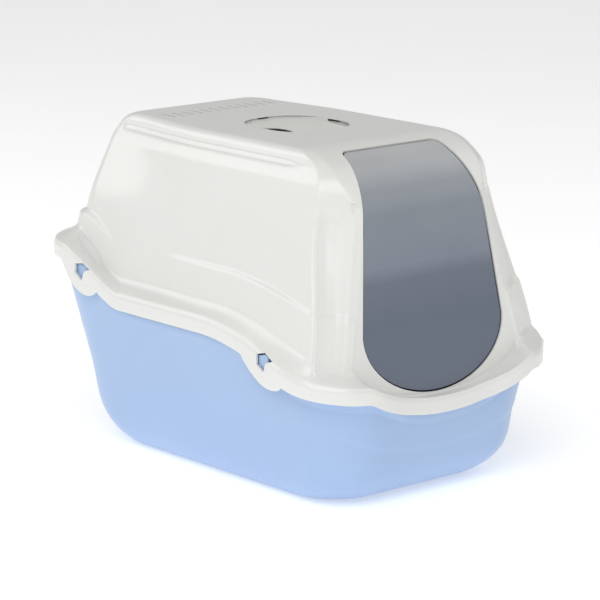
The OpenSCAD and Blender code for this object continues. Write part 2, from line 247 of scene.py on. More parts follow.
def make_stations(front, corner, pillar, side, rear_corner, rear):
    half = [(FRONT, i / front) for i in range(front)]
    half += [(FCORNER, 1 - i / corner) for i in range(corner)]
    half += [(PILLAR, 1 - i / pillar) for i in range(pillar)]
    half += [(SCORNER, 1 - i / corner) for i in range(corner)]
    half += [(SIDE, i / side) for i in range(side)]
    half += [(RCORNER, i / rear_corner) for i in range(rear_corner)]
    half += [(REAR, 1 - i / rear) for i in range(rear)]
    rows = [(k, 1, u) for k, u in half] + [(REAR, 1, 0)] + [(k, -1, u) for k, u in half[:0:-1]]
    table = np.array(rows, float)
    return table[:, 0].astype(int), table[:, 1], table[:, 2]


kind, hand, along = make_stations(30, 10, 24, 100, 16, 18)


def plan(w, f, r, r1, r2, a, b, rr):
    """The outline at half width w, front f and rear r. A front corner is two arcs, r1 beside the
    side and r2 beside the front, with a straight pillar between them."""
    u = along
    turn = np.arccos((r2 - r1) / np.hypot(a - r1, b - r2)) - np.arctan2(b - r2, a - r1)
    w, f, r, turn, r1, r2, a, b, rr = np.broadcast_arrays(w, f, r, turn, r1, r2, a, b, rr, u)[:9]
    s_end = (w - r1 + r1 * np.cos(turn), -(f - b + r1 * np.sin(turn)))
    f_end = (w - a + r2 * np.cos(turn), -(f - r2 + r2 * np.sin(turn)))
    f_angle = mix(turn, math.pi / 2, u)
    r_angle = u * math.pi / 2
    stretches = (
        ((w - a) * u, -f),
        (w - a + r2 * np.cos(f_angle), -(f - r2 + r2 * np.sin(f_angle))),
        (mix(s_end[0], f_end[0], u), mix(s_end[1], f_end[1], u)),
        (w - r1 + r1 * np.cos(turn * u), -(f - b + r1 * np.sin(turn * u))),
        (w, mix(b - f, r - rr, u)),
        (w - rr + rr * np.cos(r_angle), r - rr + rr * np.sin(r_angle)),
        ((w - rr) * u, r),
    )
    x = np.choose(kind, [s[0] for s in stretches])
    y = np.choose(kind, [s[1] for s in stretches])
    return x * hand, y


def lobe():
    ends = ease(0.45, 1, along)
    side = np.maximum(1 - ease(0, 0.2, along), ease(0.85, 1, along))
    return np.where((kind == FRONT) | (kind == REAR), ends, np.where(kind == SIDE, side, 1))


# ---- hood surface; t is how far inside the outer face a point lies ----
def flange_plan(t):
    k = FLANGE_R - t / 2
    out = LOBE_OUT * lobe() - t
    tight, reach = k - FLANGE_TIGHT, k - FLANGE_REACH
    return plan(flange_w + out, flange_l + out, flange_l + out, tight, tight, reach, reach, k)


def flange_ring(t, h, edge=False):
    ridge = FLANGE_RIDGE_OUT * bump_at(along, 0.8, 0.06) * (kind == SCORNER)
    ridge = ridge * ease(0, 1.3, h) * ease(20, 15, h)
    x, y = flange_plan(t - ridge)
    qx, qy = flange_plan(0)
    return np.stack([x, y, rim(qx, qy) + h - (tabs(qx, qy) if edge else 0)], 1)


def front_at(z, t):
    on_bend = bend_y + np.sqrt(np.maximum(0, (BEND_R - t) ** 2 - (z - bend_z) ** 2))
    return np.where(z < bend_start, FRONT_Y - t + (FRONT_Z - z) * FRONT_LEAN, on_bend)


def rear_at(z, t):
    return REAR_Y - t + (LEAN_Z - z) * REAR_LEAN - drop(REAR_FILLET - t, z - (top_z - REAR_FILLET))


def wall_plan(z, t, inset=0.0):
    k = ease(FRONT_Z, 405, z)
    w = SIDE_W + (LEAN_Z - z) * SIDE_LEAN - t - inset
    back = mix(PILLAR_BACK[0] + PILLAR_FLARE * ease(190, 330, z), PILLAR_BACK[1], k)
    rear_r = mix(*REAR_CORNER_R, ease(250, 400, z))
    x, y = plan(w, front_at(z, t), rear_at(z, t), mix(5, 6, k), mix(12, 8, k),
                mix(*PILLAR_IN, k), back, rear_r)
    return x * (1 - ROOF_TAPER * ease(STRAIGHT_Z, 400, z) * ease(30, 200, y)), y


def shoulder_z(h):
    x, y = flange_plan(0)
    return rim(x, y) + FLANGE_FACE + h * (1 - APRON_FLAT * apron(x, y))


def relief(x, y, z):
    """How far the moulded steps and ridges stand out from the plain wall."""
    ledge_z = LEDGE_Z - LEDGE_FALL * (np.maximum(0, -60 - y) / 170) ** 1.7
    round_front = np.where(kind == FCORNER, ease(1, 0.3, along), (kind >= PILLAR) & (kind <= SIDE))
    ledge = mix(*LEDGE_OUT, ease(-150, -215, y)) * ease(3.5, -3.5, z - ledge_z) * ease(80, -50, y)
    v = np.where(kind == PILLAR, along, 0)
    span = ease(160, 185, z) * ease(352, 335, z) * (kind == PILLAR)
    ridge = RIDGE_OUT[0] * bump_at(v, 0.06, 0.05) + RIDGE_OUT[1] * bump_at(v, 0.88, 0.07)
    flute = FLUTE_DEPTH * ease(0.14, 0.3, v) * ease(0.72, 0.5, v)
    at_rear = np.where(kind == SIDE, ease(0.85, 1, along), np.where(kind == RCORNER, 1, 0))
    at_rear = np.where(kind == REAR, lobe(), at_rear)
    rear_step = REAR_STEP_OUT * at_rear * ease(56, 50, z - rim(x, y))
    return ledge * round_front + (ridge - flute) * span + rear_step


def shoulder_ring(t, h, blend, carved):
    z = shoulder_z(h)
    fx, fy = flange_plan(t)
    wx, wy = wall_plan(z, t)
    if carved:
        wx, wy = wall_plan(z, t - relief(wx, wy, z))
    return np.stack([mix(fx, wx, blend), mix(fy, wy, blend), z], 1)


def wall_ring(t, up, carved):
    z = mix(shoulder_z(SHOULDER_H), STRAIGHT_Z, up)
    x, y = wall_plan(z, t)
    if carved:
        x, y = wall_plan(z, t - relief(x, y, z))
    return np.stack([x, y, z], 1)


def top_ring(t, z, carved, more=0.0):
    """A level ring. The side draws in over a soft groove and a round bead to the flat roof."""
    z = np.full(len(along), float(z))
    side = ROOF_DRAW_IN * ease(374, 394, z) + drop(ROOF_EDGE_R, z - (top_z - ROOF_EDGE_R)) + more
    x, y = wall_plan(z, t, side)
    if carved:
        groove = GROOVE_DEPTH * bump_at(z, GROOVE_Z, GROOVE_W) * ease(-175, -120, y) * (kind == SIDE)
        x, y = wall_plan(z, t - relief(x, y, z), side + groove)
    return np.stack([x, y, z], 1)


def outer_rings():
    rings = []
    edge = ((1.6, 0), (0.7, 0.15), (0.2, 0.6), (0, 1.3), (0, 5), (0, 10), (0, 13.5), (0.15, 15),
            (0.6, 16.4), (1.3, 18.2), (2, 20))
    for t, h in edge:
        tab_share = 1 - ease(0, FLANGE_FACE, max(h - 1.3, 0))
        low = flange_ring(t, h, True)
        high = flange_ring(t, h, False)
        rings.append(mix(high, low, tab_share))
    for h in np.linspace(6, SHOULDER_H - 1, 14):
        s = (h - 5) / (SHOULDER_H - 5)
        rings.append(shoulder_ring(2.5 * (1 - s), h, 1 - (1 - s) ** SHOULDER_POWER, True))
    for up in np.linspace(0, 1, 78):
        rings.append(wall_ring(0, up, True))
    levels = list(np.arange(302.5, 372, 2.5)) + list(np.arange(374, 400, 1.5))
    levels += [top_z - ROOF_EDGE_R + ROOF_EDGE_R * math.sin(math.radians(a)) for a in range(0, 90, 9)]
    for z in levels:
        rings.append(top_ring(0, z, True))
    for more in (0, 1.5, 5, 17, 45, 80):
        rings.append(top_ring(0, top_z, False, more))
    return rings


def inner_rings():
    rings = [top_ring(HOOD_WALL, top_z - HOOD_WALL, False, more) for more in (60, 15, 0)]
    for z in (405, 401, 396, 390, 384, 376, 366, 352, 340, 326, 312):
        rings.append(top_ring(HOOD_WALL, z, False, 1.5 * ease(396, 405, z)))
    for up in np.linspace(1, 0, 14):
        rings.append(wall_ring(HOOD_WALL, up, False))
    for h, blend in ((15, 0.88), (8, 0.5)):
        rings.append(shoulder_ring(HOOD_WALL, h, blend, False))
    rings += [flange_ring(t, RIM_LIP + SEAT_GAP) for t in (8, 3)]
    rings += [flange_ring(3, 1, True), flange_ring(2.4, 0.2, True)]
    return rings


# ---- mesh helpers ----
def mesh_object(name, verts, faces, scale=MM):
    mesh = bpy.data.meshes.new(name)
    mesh.from_pydata((np.asarray(verts, float) * scale).tolist(), [], faces)
    mesh.validate()
    obj = bpy.data.objects.new(name, mesh)
    bpy.context.scene.collection.objects.link(obj)
    return obj


def ring_faces(rings):
    """Faces of a closed shell through the rings, with its first and last ring capped."""
    n, count = len(rings[0]), len(rings)
    faces = []
    for k in range(count - 1):
        for i in range(n):
            j = (i + 1) % n
            faces.append((k * n + i, k * n + j, (k + 1) * n + j, (k + 1) * n + i))
    faces.append(tuple(range(n - 1, -1, -1)))
    faces.append(tuple((count - 1) * n + i for i in range(n)))
    return faces


def slab_faces(columns, rows):
    """Faces of a closed slab: two layers of a grid, with its four edges closed."""
    across = columns + 1
    layer = across * (rows + 1)
    faces = []
    for k in range(rows):
        for i in range(columns):
            a = k * across + i
            faces.append((a, a + 1, a + across + 1, a + across))
            faces.append((layer + a, layer + a + across, layer + a + across + 1, layer + a + 1))
        for i in (0, columns):
            a = k * across + i
            b = a + across
            faces.append((a, b, layer + b, layer + a))
    for k in (0, rows):
        for i in range(columns):
            a = k * across + i
            faces.append((a, a + 1, layer + a + 1, layer + a))
    return faces


def ring_object(name, rings):
    return mesh_object(name, np.concatenate(rings), ring_faces(rings))


def outward(obj):
    bm = bmesh.new()
    bm.from_mesh(obj.data)
    bmesh.ops.recalc_face_normals(bm, faces=bm.faces)
    bm.to_mesh(obj.data)
    bm.free()
    return obj


def join(name, parts):
    bpy.ops.object.select_all(action="DESELECT")
    for part in parts:
        part.select_set(True)
    bpy.context.view_layer.objects.active = parts[0]
    bpy.ops.object.join()
    parts[0].name = parts[0].data.name = name
    return parts[0]


def apply_modifiers(obj):
    depsgraph = bpy.context.evaluated_depsgraph_get()
    mesh = bpy.data.meshes.new_from_object(obj.evaluated_get(depsgraph))
    obj.modifiers.clear()
    obj.data = mesh
    return obj


def boolean(obj, cutter, operation="DIFFERENCE"):
    modifier = obj.modifiers.new("cut", "BOOLEAN")
    modifier.operation = operation
    modifier.solver = "EXACT"
    modifier.object = cutter
    apply_modifiers(obj)
    bpy.data.objects.remove(cutter)
    return obj


def bevel(obj, width, segments=2, angle=40):
    modifier = obj.modifiers.new("bevel", "BEVEL")
    modifier.width = width * MM
    modifier.segments = segments
    modifier.limit_method = "ANGLE"
    modifier.angle_limit = math.radians(angle)
    return apply_modifiers(obj)


def smooth(obj, angle=35):
    for polygon in obj.data.polygons:
        polygon.use_smooth = True
    obj.data.set_sharp_from_angle(angle=math.radians(angle))
    return obj


def extruded(name, start, end):
    """A closed solid between two outlines with the same number of points."""
    n = len(start)
    faces = [(i, (i + 1) % n, n + (i + 1) % n, n + i) for i in range(n)]
    faces += [tuple(range(n - 1, -1, -1)), tuple(range(n, 2 * n))]
    return outward(mesh_object(name, start + end, faces))


def prism(name, outline, z0, z1):
    """A closed upright prism on an outline in x and y."""
    return extruded(name, [(x, y, z0) for x, y in outline], [(x, y, z1) for x, y in outline])


def turned(name, outline, x0, x1):
    """A closed prism on an outline in y and z that runs along x."""
    return extruded(name, [(x0, y, z) for y, z in outline], [(x1, y, z) for y, z in outline])


def on_side(side, a, b):
    """The distances a and b from the middle, on one side, as low and high."""
    return sorted((side * a, side * b))


def block(name, low, high):
    (x0, y0, z0), (x1, y1, z1) = low, high
    return prism(name, [(x0, y0), (x1, y0), (x1, y1), (x0, y1)], z0, z1)


def rounded(width, length, radius, steps=8, centre=(0, 0)):
    """A rectangle with round corners."""
    points = []
    for q in range(4):
        sx, sy = (1, -1, -1, 1)[q], (1, 1, -1, -1)[q]
        for k in range(steps + 1):
            a = math.radians(90 * (q + k / steps))
            points.append((centre[0] + sx * (width / 2 - radius) + radius * math.cos(a),
                           centre[1] + sy * (length / 2 - radius) + radius * math.sin(a)))
    return points


def arc(centre, radius, angles):
    return [(centre[0] + radius * math.cos(a), centre[1] + radius * math.sin(a)) for a in angles]


def circle(centre, radius, sides):
    return arc(centre, radius, np.linspace(0, 2 * math.pi, sides, endpoint=False))


def rod(name, x0, x1, centre, radius):
    return turned(name, circle(centre, radius, 32), x0, x1)


# ---- the front face, as distance along it ----
def front_point(s, t):
    """(y, z) at arc length s along the front, measured from widest_z up, t inside its face."""
    flat = (bend_start - WIDEST_Z) * slope_length
    if s <= flat:
        z = WIDEST_Z + s / slope_length
        y = -(FRONT_Y + (FRONT_Z - z) * FRONT_LEAN)
        return y + t * math.cos(lean), z - t * math.sin(lean)
    a = lean + (s - flat) / BEND_R
    return -(bend_y + (BEND_R - t) * math.cos(a)), bend_z + (BEND_R - t) * math.sin(a)


def half_width(z):
    return WIDEST - (z - WIDEST_Z) * NARROWING - CROWN * np.maximum(0, z - CROWN_Z) ** 2


def door_rows(gap, corner):
    """(s, half width) rows up the opening: an ellipse below, round corners on top."""
    depth = (WIDEST_Z - SILL_Z) * slope_length - gap
    rows = []
    for a in np.linspace(-90, 0, 16, endpoint=False)[1:]:
        rows.append((depth * math.sin(math.radians(a)), (WIDEST - gap) * math.cos(math.radians(a))))
    top = top_s - gap
    for s in np.linspace(0, top - corner, 44):
        rows.append((s, half_width(front_point(s, 0)[1]) - gap))
    for a in np.linspace(0, 90, 9)[1:]:
        s = top - corner + corner * math.sin(math.radians(a))
        half = half_width(front_point(s, 0)[1]) - gap
        rows.append((s, half - corner * (1 - math.cos(math.radians(a)))))
    return [(-depth, 0.0)] + rows


def door_solid(name, gap, corner, t_out, t_in, columns=28):
    """The slab between two depths behind the hood's front, inside the door outline."""
    rows = door_rows(gap, corner)
    cells = np.sin(np.linspace(-1, 1, columns + 1) * math.pi / 2)
    verts = []
    for t in (t_out, t_in):
        for s, half in rows:
            y, z = front_point(s, t)
            verts += [(c * max(half, 0.6), y, z) for c in cells]
    return outward(mesh_object(name, verts, slab_faces(columns, len(rows) - 1)))


# ---- hood ----
def at_clip(name, outline, y, x0, x1):
    """A prism along x on a clip outline, at the flange edge at y."""
    edge = float(rim(flange_w, y))
    return turned(name, [(y + dy, edge + dz) for dy, dz in outline], *sorted((x0, x1)))


def vent_slots():
    slots = []
    for i in range(VENT_COUNT):
        x = (i - (VENT_COUNT - 1) / 2) * VENT_PITCH
        outline = rounded(4.5, 26, 2.2, 5, (x, (frame_low[1] + frame_high[1] - 7.4) / 2))
        slots.append(prism("vent", outline, top_z - 6, top_z + 3))
    return slots


def pin_end(side):
    """Cutter for the small round hole in the front face at the end of a flap pin."""
    y, z = front_point((PIN_END_Z - WIDEST_Z) * slope_length, 0)
    dot = prism("pin_end", circle((side * PIN_END_X, 0), PIN_END_R, 20), -8, 8)
    dot.rotation_euler = (math.pi / 2, 0, 0)
    dot.location = (0, y * MM, z * MM)
    bpy.context.view_layer.update()
    dot.data.transform(dot.matrix_world)
    dot.matrix_world.identity()
    return dot


def bearing(side):
    """A half-round boss behind the front face, with the bore that a flap pin turns in."""
    y, z = joint_at["flap_swing"][1:]
    x0, x1 = on_side(side, *BEARING_X)
    outline = arc((y, z), BEARING_R, np.linspace(-math.pi / 2, math.pi / 2, 20))
    outline += [(y - 5, z + BEARING_R), (y - 5, z - BEARING_R)]
    return boolean(turned("bearing", outline, x0, x1), rod("bore", x0 - 1, x1 + 1, (y, z), BORE_R))


def make_hood():
    shell = outward(ring_object("hood_shell", inner_rings() + outer_rings()))
    cutters = [door_solid("doorway", 0, DOOR_CORNER, -12, 14)]
    cutters.append(prism("recess", rounded(RECESS_W, RECESS_L, RECESS_R, 10, (0, RECESS_Y)),
                         top_z - 14, top_z + 6))
    cutters += vent_slots()
    for side in (-1, 1):
        cutters += [at_clip("clip_hole", hole, y, side * (flange_w - 7), side * (flange_w + 22))
                    for y, hole in zip(CLIP_Y, HOLES)]
        cutters.append(pin_end(side))
    boolean(shell, join("cutters", cutters))
    return smooth(join("hood_shell", [shell, make_pan(), bearing(-1), bearing(1)]), 35)


def make_pan():
    """The tub under the handle, hung from the roof: walls, floor and the two ledges."""
    roof = top_z - 0.6
    floor = top_z - RECESS_DEPTH

    def ring(grow, z):
        outline = rounded(RECESS_W + 2 * grow, RECESS_L + 2 * grow, RECESS_R + grow, 10, (0, RECESS_Y))
        return np.array([(x, y, z) for x, y in outline])

    inside = [ring(-5, floor), ring(-1.5, floor + 1.5), ring(0, floor + 5), ring(0, roof)]
    outside = [ring(HOOD_WALL, roof - 1.6), ring(HOOD_WALL, floor + 2), ring(-2, floor - HOOD_WALL)]
    pan = outward(ring_object("pan", inside + outside))
    ledges = []
    for side in (-1, 1):
        whole = prism("ledge", rounded(RECESS_W + 1, RECESS_L + 1, RECESS_R, 10, (0, RECESS_Y)),
                      top_z - 10, top_z - END_SINK - STRAP_T - 0.4)
        near, far = on_side(side, RECESS_L / 2 - LEDGE_L, RECESS_L / 2 + 5)
        keep = block("keep", (-80, RECESS_Y + near, top_z - 20), (80, RECESS_Y + far, top_z + 20))
        whole = boolean(whole, keep, "INTERSECT")
        y = RECESS_Y + side * (RECESS_L / 2 - LEDGE_L / 2)
        ledges.append(boolean(whole, block("slot", (-18, y - 2.5, top_z - 12), (18, y + 2.5, top_z))))
    return join("pan", [pan] + ledges)


# ---- handle ----
def strap_half(y):
    """Half width of the strap at y from its middle: wide ends, a waist between the finger gaps."""
    waist = (RECESS_W - STRAP_WAIST) / 2 - 0.4
    radius = (GAP_HALF**2 + waist**2) / (2 * waist)
    offset = y - GAP_Y
    if abs(offset) >= GAP_HALF:
        return RECESS_W / 2 - STRAP_FIT
    return RECESS_W / 2 - STRAP_FIT - (math.sqrt(max(radius**2 - offset**2, 0)) - (radius - waist))


def make_strap():
    """The carry handle: a strap bowed along its length, with two finger gaps at its sides."""
    half_l = RECESS_L / 2 - STRAP_FIT
    bow = strap_high[2] - (top_z - END_SINK)
    radius = (half_l**2 + bow**2) / (2 * bow)
    rows, columns = 64, 40
    cells = np.sin(np.linspace(-1, 1, columns + 1) * math.pi / 2)
    verts = []
    for layer_t in (0, STRAP_T):
        for k in range(rows + 1):
            y = half_l * math.sin(math.pi / 2 * (2 * k / rows - 1))
            corner = max(0, abs(y) - (half_l - RECESS_R))
            limit = RECESS_W / 2 - STRAP_FIT - (RECESS_R - math.sqrt(max(RECESS_R**2 - corner**2, 0)))
            half = max(min(strap_half(y), limit), 1)
            for c in cells:
                x = c * half
                thick = layer_t - layer_t * 0.65 * ease(0.75, 1, abs(c)) * ease(50, 35, abs(y))
                z_bow = strap_high[2] - radius + math.sqrt((radius - thick) ** 2 - y**2)
                verts.append((x, RECESS_Y + y, z_bow - STRAP_CROWN * (x / (RECESS_W / 2)) ** 2))
    strap = mesh_object("carry_strap", verts, slab_faces(columns, rows))
    strap = bevel(outward(strap), 0.8, 3, 50)
    parts = [strap]
    for side in (-1, 1):
        y = RECESS_Y + side * (RECESS_L / 2 - LEDGE_L / 2)
        stem = block("stem", (-HOOK_X, y - 1.5, strap_low[2] + 1), (HOOK_X, y + 1.5, top_z - 5))
        y0, y1 = sorted((y - 3.5 + side * 2, y + 3.5 + side * 2))
        foot = block("foot", (-HOOK_X, y0, strap_low[2]), (HOOK_X, y1, strap_low[2] + 3.5))
        parts += [bevel(stem, 0.5), bevel(foot, 0.8)]
    return smooth(join("carry_strap", parts), 40)


# ---- flap ----
def make_flap():
    depth = FLAP_INSET + FLAP_T
    parts = [bevel(door_solid("flap_panel", FLAP_GAP, FLAP_CORNER, FLAP_INSET, depth, 36), 0.7, 3, 50)]
    y, z = joint_at["flap_swing"][1:]
    for side in (-1, 1):
        outline = [(y - 5, z - 14), (y - 5, z + 5), (y - 1, z + 7), (y + 3, z + 4), (y + 4, z - 2)]
        parts.append(bevel(turned("lug", outline, *on_side(side, *LUG_X)), 0.8))
        ends = on_side(side, sum(LUG_X) / 2, BEARING_X[1])
        parts.append(bevel(rod("pin", *ends, (y, z), PIN_R), 0.4))
    return smooth(join("flap_panel", parts), 40)


# ---- tray ----
def tray_side(z, top, at, deep, high):
    under = np.clip((high - z) / high, 0, 1)
    return top - (at - z) * TRAY_LEAN - deep * (1 - np.sqrt(1 - under**2))


def tray_plan(z, t):
    corner = mix(*TRAY_CORNER, ease(0, 110, z)) - t / 2
    w, f = flange_w - TRAY_INSET, flange_l - TRAY_INSET
    return plan(tray_side(z, w, *TRAY_SIDES) - t, tray_side(z, f, *TRAY_FRONT) - t,
                tray_side(z, f, *TRAY_REAR) - t, corner * 0.8, corner * 0.8, corner * 0.9,
                corner * 0.9, corner)


def tray_ring(t, u, base):
    qx, qy = flange_plan(TRAY_INSET)
    top = rim(qx, qy) + RIM_LIP
    z = mix(base, top, u)
    k = ease(top - 30, top - 10, z)
    x, y = tray_plan(z - base * (1 - u), t)
    fx, fy = flange_plan(TRAY_INSET + t)
    return np.stack([mix(x, fx, k), mix(y, fy, k), z], 1)


def tray_crease(ring):
    """The faint fold that runs across the front and dies out round the corners."""
    x, y, z = ring.T
    line = 58 + 48 * np.clip(np.abs(x) / 175, 0, 1.2) ** 2
    depth = CREASE_DEPTH * ease(-120, -200, y) * ease(8, 0, z - line) * ease(20, 60, z)
    out = np.stack([x, y], 1) / np.maximum(np.hypot(x, y), 1)[:, None]
    ring = ring.copy()
    ring[:, :2] -= out * depth[:, None]
    return ring


def make_tray():
    lower = np.concatenate([[0, 0.003, 0.008], np.linspace(0.015, 0.7, 60), np.linspace(0.71, 0.99, 40)])
    outer = [tray_crease(tray_ring(0, u, 0)) for u in lower]
    lip = [tray_ring(t, u, 0) for t, u in ((0.3, 0.996), (0.9, 1.0))]
    lip += [tray_ring(t, u, TRAY_FLOOR) for t, u in ((1.9, 1.0), (2.5, 0.996))]
    inner = [tray_ring(TRAY_WALL, u, TRAY_FLOOR) for u in
             (0.985, 0.95, 0.9, 0.85, 0.8, 0.7, 0.55, 0.4, 0.3, 0.22, 0.15, 0.1, 0.06, 0.03, 0.01, 0)]
    bottom = outer[0].copy()
    bottom[:, :2] *= FOOT_SHARE
    floor = inner[-1].copy()
    floor[:, :2] *= FOOT_SHARE
    shell = outward(ring_object("tray_shell", [bottom] + outer + lip + inner + [floor]))
    parts = [shell]
    for y, outline in zip(CLIP_Y, TONGUES):
        ends = [(y + dy + SIDE_HALF) / (2 * SIDE_HALF) for dy in (outline[0][0], outline[3][0])]
        out = min(max(1 - float(ease(0, 0.2, u)), float(ease(0.85, 1, u))) for u in ends)
        face = flange_w + LOBE_OUT * out - TRAY_INSET
        for side in (-1, 1):
            tongue = at_clip("tongue", outline, y, side * (face - 2), side * (face + TONGUE_REACH))
            parts.append(bevel(tongue, 0.6))
    return smooth(join("tray_shell", parts), 40)


# ---- filter set ----
def make_frame():
    centre = ((frame_low[0] + frame_high[0]) / 2, (frame_low[1] + FILTER_REAR_Y) / 2)
    length = FILTER_REAR_Y - frame_low[1]
    width = frame_high[0] - frame_low[0]
    top, bottom = frame_high[2], frame_high[2] - FRAME_H
    body = prism("filter_tray", rounded(width, length, 3, 4, centre), bottom, top)
    boolean(body, prism("way_down", rounded(width - 12, length - 12, 2, 4, centre), bottom - 1, bottom + 3))
    boolean(body, prism("pad_space", rounded(width - 6, length - 6, 2, 4, centre), bottom + 1.5, top + 1))
    bevel(body, 0.5)
    y, z = joint_at["filter_cover_hinge"][1:]
    parts = [body]
    for side in (-1, 1):
        x0, x1 = on_side(side, *EAR_X)
        outline = arc((y, z), EAR_R, np.linspace(-math.pi, 0, 14))
        outline += [(y + EAR_R, z + 7), (y - EAR_R, z + 7)]
        ear = boolean(turned("ear", outline, x0, x1), rod("bore", x0 - 1, x1 + 1, (y, z), HINGE_BORE_R))
        parts.append(bevel(ear, 0.3))
        parts.append(block("web", (x0, y - 6, bottom + 1), (x1, y - 2, bottom + 5.5)))
    return smooth(join("filter_tray", parts), 35)


def make_cover():
    y, z = joint_at["filter_cover_hinge"][1:]
    z0, z1 = z - COVER_HALF_T, z + COVER_HALF_T
    y0, y1 = frame_low[1], FILTER_REAR_Y
    middle = (y0 + y1) / 2
    width, length = cover_high[0] - cover_low[0], y1 - y0
    panel = prism("filter_grid", rounded(width, length, 3, 4, (0, middle)), z0, z1)
    slots = [prism("slot", rounded(8, length - 16, 3.9, 6, (i * GRID_PITCH, middle)), z0 - 1, z1 + 1)
             for i in range(-5, 6)]
    boolean(panel, join("slots", slots))
    bevel(panel, 0.5)
    parts = [panel]
    for side in (-1, 1):
        x0, x1 = on_side(side, *KNUCKLE_X)
        parts.append(bevel(block("arm", (x0, y1 - 3, z0), (x1, y, z1)), 0.4))
        parts.append(bevel(rod("knuckle", x0, x1, (y, z), KNUCKLE_R), 0.4))
        parts.append(bevel(rod("hinge_pin", *on_side(side, 49.5, 58.5), (y, z), HINGE_PIN_R), 0.3))
    parts.append(bevel(block("tab", (-12, cover_low[1], z0), (12, y0 + 1, z1)), 0.8))
    return smooth(join("filter_grid", parts), 35)


def make_pad():
    """The felt pad, with a pillowed, slightly uneven face."""
    width, length = pad_high[0] - pad_low[0], pad_high[1] - pad_low[1]
    nx, ny = 90, 24
    verts = []
    rng = np.random.default_rng(7)
    rough = rng.normal(0, 0.16, (2, ny + 1, nx + 1))
    for layer, z in ((0, pad_high[2]), (1, pad_low[2])):
        for j in range(ny + 1):
            for i in range(nx + 1):
                u, v = i / nx * 2 - 1, j / ny * 2 - 1
                across = abs(u) * width / 2 - (width / 2 - 3)
                lengthways = abs(v) * length / 2 - (length / 2 - 3)
                edge = max(across, lengthways, 0) / 3
                sink = (0.2 + 1.6 * edge**2 + abs(rough[layer, j, i])) * (1 if layer == 0 else -1)
                verts.append((pad_low[0] + (u + 1) / 2 * width, pad_low[1] + (v + 1) / 2 * length, z - sink))
    return smooth(outward(mesh_object("carbon_pad", verts, slab_faces(nx, ny))), 60)


# ---- materials ----
def srgb(r, g, b):
    def one(c):
        c /= 255
        return c / 12.92 if c <= 0.04045 else ((c + 0.055) / 1.055) ** 2.4
    return one(r), one(g), one(b), 1.0


class Shader:
    """Small helper that wires nodes of one material."""

    def __init__(self, name):
        self.material = bpy.data.materials.new(name)
        self.material.use_nodes = True
        self.tree = self.material.node_tree
        self.principled = self.tree.nodes["Principled BSDF"]
        self.coords = self.node("ShaderNodeTexCoord").outputs["Object"]

    def node(self, kind, **inputs):
        made = self.tree.nodes.new(kind)
        for key, value in inputs.items():
            made.inputs[key.replace("_", " ")].default_value = value
        return made

    def link(self, a, b):
        self.tree.links.new(a, b)

    def noise(self, scale, detail=3.0, roughness=0.5, stretch=None):
        made = self.node("ShaderNodeTexNoise", Scale=scale, Detail=detail, Roughness=roughness)
        source = self.coords
        if stretch:
            mapping = self.node("ShaderNodeMapping", Scale=stretch)
            self.link(source, mapping.inputs["Vector"])
            source = mapping.outputs["Vector"]
        self.link(source, made.inputs["Vector"])
        return made.outputs["Fac"]

    def ramp(self, source, stops):
        made = self.node("ShaderNodeValToRGB")
        elements = made.color_ramp.elements
        while len(elements) < len(stops):
            elements.new(0.5)
        for element, (place, colour) in zip(elements, stops):
            element.position = place
            element.color = colour
        self.link(source, made.inputs["Fac"])
        return made.outputs["Color"]

    def remap(self, source, low, high, to_low, to_high):
        made = self.node("ShaderNodeMapRange")
        for key, value in zip(("From Min", "From Max", "To Min", "To Max"),
                              (low, high, to_low, to_high)):
            made.inputs[key].default_value = value
        self.link(source, made.inputs["Value"])
        return made.outputs["Result"]

    def blend(self, a, b, factor):
        made = self.node("ShaderNodeMix")
        made.data_type = "RGBA"
        for socket, value in ((made.inputs[6], a), (made.inputs[7], b), (made.inputs[0], factor)):
            if isinstance(value, bpy.types.NodeSocket):
                self.link(value, socket)
            else:
                socket.default_value = value
        return made.outputs[2]

    def bump(self, source, distance, strength=1.0, normal=None):
        made = self.node("ShaderNodeBump", Distance=distance, Strength=strength)
        self.link(source, made.inputs["Height"])
        if normal:
            self.link(normal, made.inputs["Normal"])
        return made.outputs["Normal"]

    def set(self, **inputs):
        for key, value in inputs.items():
            socket = self.principled.inputs[key.replace("_", " ")]
            if isinstance(value, bpy.types.NodeSocket):
                self.link(value, socket)
            else:
                socket.default_value = value


def moulded_plastic(name, base, shade, rough, grain, coat=0.0, scatter=0.0):
    """Injection-moulded plastic: cloudy pigment, faint flow lines, fine grain and small scuffs."""
    s = Shader(name)
    cloud = s.noise(7.0, 4.0, 0.55)
    flow = s.noise(16.0, 3.0, 0.5, stretch=(1.0, 1.0, 0.2))
    colour = s.ramp(cloud, ((0.3, shade), (0.7, base)))
    colour = s.blend(colour, shade, s.remap(flow, 0.45, 0.75, 0.0, 0.25))
    speck = s.noise(900.0, 2.0, 0.6)
    colour = s.blend(colour, shade, s.remap(speck, 0.62, 0.8, 0.0, 0.2))
    scuff = s.noise(60.0, 5.0, 0.7, stretch=(1.0, 0.35, 1.6))
    rough_map = s.remap(scuff, 0.35, 0.75, rough * 0.92, rough * 1.12)
    normal = s.bump(s.noise(1500.0, 2.0, 0.5), 0.000006 * grain, 0.5)
    normal = s.bump(s.noise(24.0, 2.0, 0.4), 0.0002 * grain, 0.1, normal)
    s.set(Base_Color=colour, Roughness=rough_map, Normal=normal, Coat_Weight=coat,
          Coat_Roughness=0.08, IOR=1.5)
    if scatter:
        s.set(Subsurface_Weight=scatter, Subsurface_Scale=0.004, Subsurface_Radius=(1.0, 0.9, 0.8))
    return s.material


